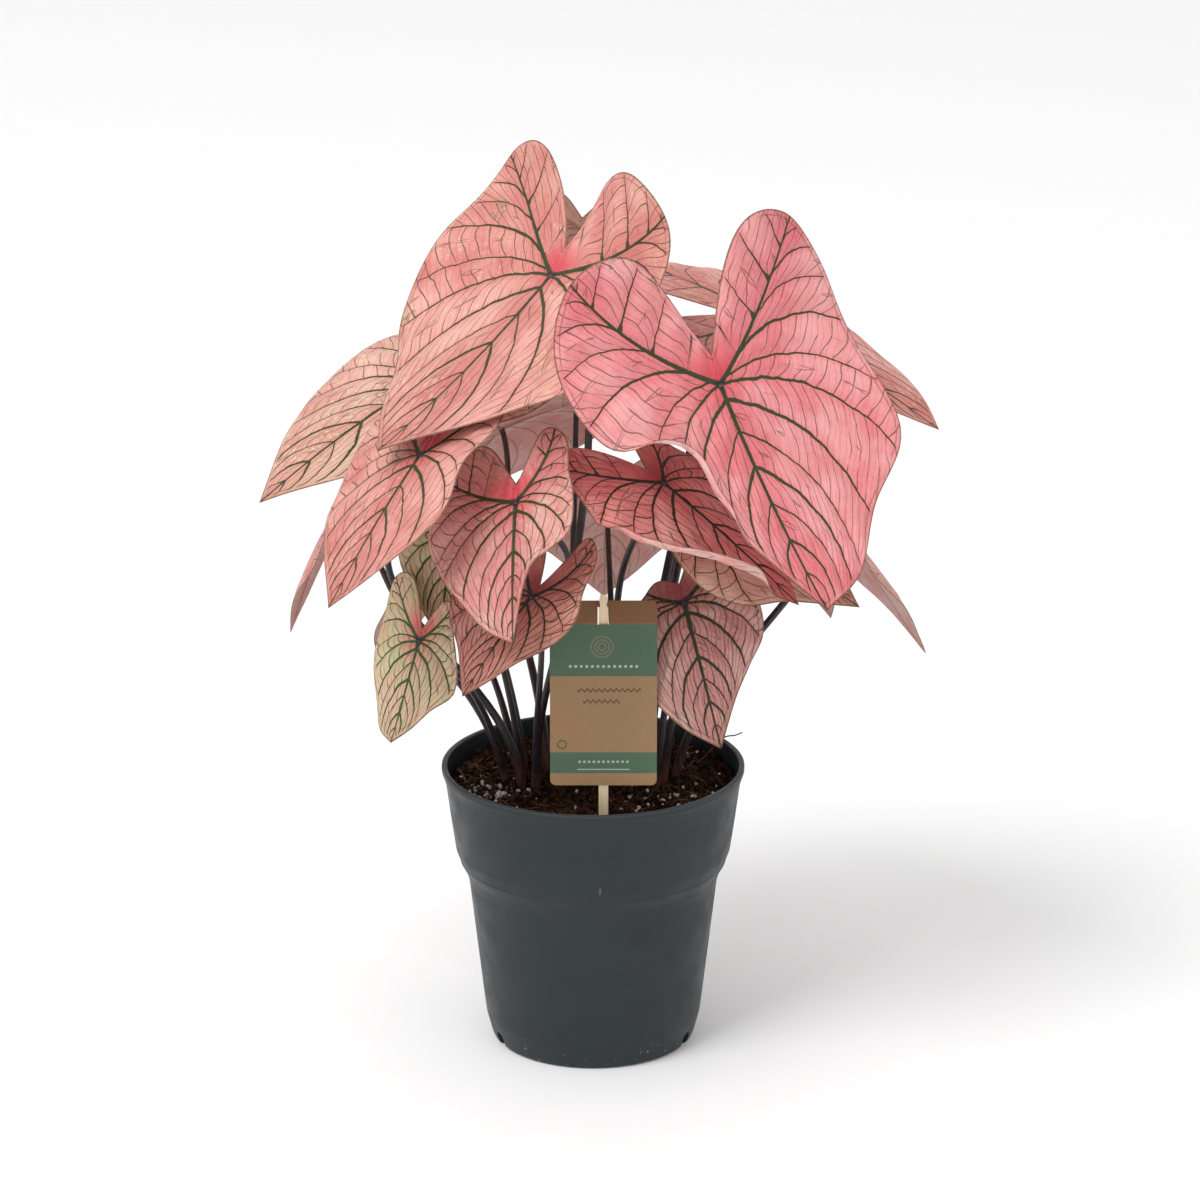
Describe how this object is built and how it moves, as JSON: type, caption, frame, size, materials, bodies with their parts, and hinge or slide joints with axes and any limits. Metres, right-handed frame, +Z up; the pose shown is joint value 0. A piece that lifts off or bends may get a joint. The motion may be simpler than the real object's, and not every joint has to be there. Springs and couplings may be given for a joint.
{
  "type": "potted caladium",
  "caption": "Caladium with heart-shaped pink, dark-veined leaves on slim stems, in a round tapered plastic nursery pot with soil and a plain stick-in label.",
  "frame": {"origin": "on the surface the pot stands on, under the middle of the pot; the whole plant's box is centred there to within about 2 mm", "axes": "+Z up, -Y the front, where the label stands"},
  "size_m": [0.2843, 0.2506, 0.3935],
  "materials": {
    "pot": "semi-matte slate grey plastic",
    "soil": "rough dark peat mix",
    "tuber": "corky brown skin",
    "card": "matte kraft card",
    "stake": "bare pale wood",
    "pink_leaf": "satin pink leaf with dark green veins",
    "rose_leaf": "satin rose leaf with dark green veins",
    "dusky_leaf": "satin dusky rose leaf with near-black veins",
    "pale_leaf": "satin cream and pink leaf with green veins"
  },
  "bodies": {
    "root": {"nursery_pot": "pot", "soil": "soil", "tuber_left": "tuber", "tuber_right": "tuber", "label_card": "card", "label_stake": "stake", "leaf_top_left": "pink_leaf", "leaf_front_right": "rose_leaf", "leaf_left_front": "pink_leaf", "leaf_front_centre": "pink_leaf", "leaf_centre_right": "dusky_leaf", "leaf_front_low": "dusky_leaf", "leaf_right_low": "dusky_leaf", "leaf_left_low": "pale_leaf", "leaf_left_high": "pink_leaf", "leaf_right_high": "pink_leaf", "leaf_left_drooping": "pink_leaf", "leaf_right_drooping": "pink_leaf", "leaf_right_under": "pink_leaf", "leaf_left_under": "pale_leaf", "leaf_top_rear": "pale_leaf", "leaf_rear_right_high": "pink_leaf", "leaf_rear_right_low": "pink_leaf", "leaf_rear_middle": "pink_leaf", "leaf_rear_left_high": "pink_leaf", "leaf_rear_left_low": "pink_leaf"}
  },
  "joints": []
}
